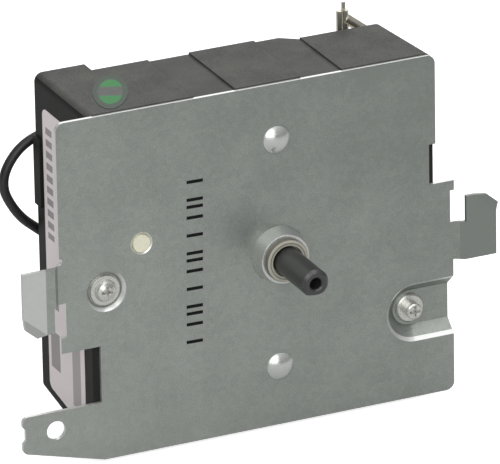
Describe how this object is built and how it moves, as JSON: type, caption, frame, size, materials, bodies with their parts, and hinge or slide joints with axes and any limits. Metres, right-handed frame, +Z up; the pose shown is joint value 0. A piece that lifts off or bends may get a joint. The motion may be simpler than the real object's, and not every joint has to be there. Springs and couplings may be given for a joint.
{
  "type": "dryer timer",
  "caption": "Cam-operated clothes dryer timer: galvanised mounting plate with hooks and tab, black case, control shaft, contact blades and a small motor behind.",
  "frame": {"origin": "where the control shaft's axis crosses the front face of the mounting plate", "axes": "+X right seen from the front, +Y from the plate's face back into the case (the shaft points to -Y), +Z up, towards the seal's side of the case"},
  "size_m": [0.129, 0.0655, 0.096],
  "materials": {
    "galvanised_steel": "satin",
    "bright_steel": "satin",
    "zinc_screw": "satin",
    "black_case": "matte",
    "label_paper": "matte",
    "seal_foil": "glossy",
    "black_shaft": "satin",
    "cream_plastic": "matte",
    "dark_magnet": "matte",
    "spring_steel": "satin",
    "contact_metal": "polished",
    "tan_phenolic": "matte",
    "motor_steel": "satin",
    "white_nylon": "matte",
    "copper_wire": "satin",
    "lead_jacket": "satin",
    "tinned_brass": "satin",
    "contact_brass": "satin"
  },
  "bodies": {
    "frame": {"coil_bobbin": "white_nylon", "coil_winding": "copper_wire", "contact_buttons": "contact_metal", "detent_spring": "spring_steel", "fixed_blade_1": "contact_brass", "fixed_blade_2": "contact_brass", "fixed_blade_3": "contact_brass", "fixed_blade_4": "contact_brass", "housing": "black_case", "idler_axle": "bright_steel", "lead_connector_lower": "tinned_brass", "lead_connector_upper": "tinned_brass", "lead_grommets": "white_nylon", "motor_can": "motor_steel", "motor_lead_long": "lead_jacket", "motor_lead_short": "lead_jacket", "motor_plate": "motor_steel", "motor_screws": "zinc_screw", "mounting_plate": "galvanised_steel", "plate_screw_left": "zinc_screw", "plate_screw_right": "zinc_screw", "pole_plate": "motor_steel", "rotor_axle": "bright_steel", "screw_washer": "zinc_screw", "seal_sticker": "seal_foil", "shaft_bush": "bright_steel", "side_label": "label_paper", "spring_blade_1": "contact_brass", "spring_blade_2": "contact_brass", "spring_blade_3": "contact_brass", "spring_blade_4": "contact_brass", "terminal_block_lower": "tan_phenolic", "terminal_block_upper": "tan_phenolic"},
    "shaft": {"control_shaft": "black_shaft", "cam_drum": "cream_plastic", "clutch_spring": "spring_steel"},
    "drum_gear": {"drum_gear": "cream_plastic"},
    "drive_gear": {"drive_gear": "cream_plastic"},
    "output_gear": {"output_gear": "cream_plastic"},
    "idler_gear": {"idler_gear": "cream_plastic"},
    "rotor": {"rotor_magnet": "dark_magnet", "rotor_hub": "cream_plastic"}
  },
  "joints": [
    {"name": "rotor_turn", "type": "hinge", "parent": "frame", "child": "rotor", "pos_m": [-0.013, 0, -0.002], "axis": [0, 1, 0], "continuous": true},
    {"name": "idler_turn", "type": "hinge", "parent": "frame", "child": "idler_gear", "pos_m": [-0.01947, 0, 0.00563], "axis": [0, 1, 0], "continuous": true},
    {"name": "output_turn", "type": "hinge", "parent": "frame", "child": "output_gear", "pos_m": [-0.02718, 0, 0.00008], "axis": [0, 1, 0], "continuous": true},
    {"name": "drive_turn", "type": "hinge", "parent": "frame", "child": "drive_gear", "pos_m": [-0.0368, 0, 0.0097], "axis": [0, 1, 0], "continuous": true},
    {"name": "drum_gear_turn", "type": "hinge", "parent": "frame", "child": "drum_gear", "pos_m": [0, 0, 0], "axis": [0, 1, 0], "continuous": true},
    {"name": "shaft_turn", "type": "hinge", "parent": "frame", "child": "shaft", "pos_m": [0, 0, 0], "axis": [0, 1, 0], "continuous": true}
  ],
  "couplings": [
    {"joint": "idler_turn", "follows": "rotor_turn", "ratio": -0.33333},
    {"joint": "output_turn", "follows": "rotor_turn", "ratio": 0.15385},
    {"joint": "drive_turn", "follows": "rotor_turn", "ratio": -0.064103},
    {"joint": "drum_gear_turn", "follows": "rotor_turn", "ratio": 0.017094}
  ]
}
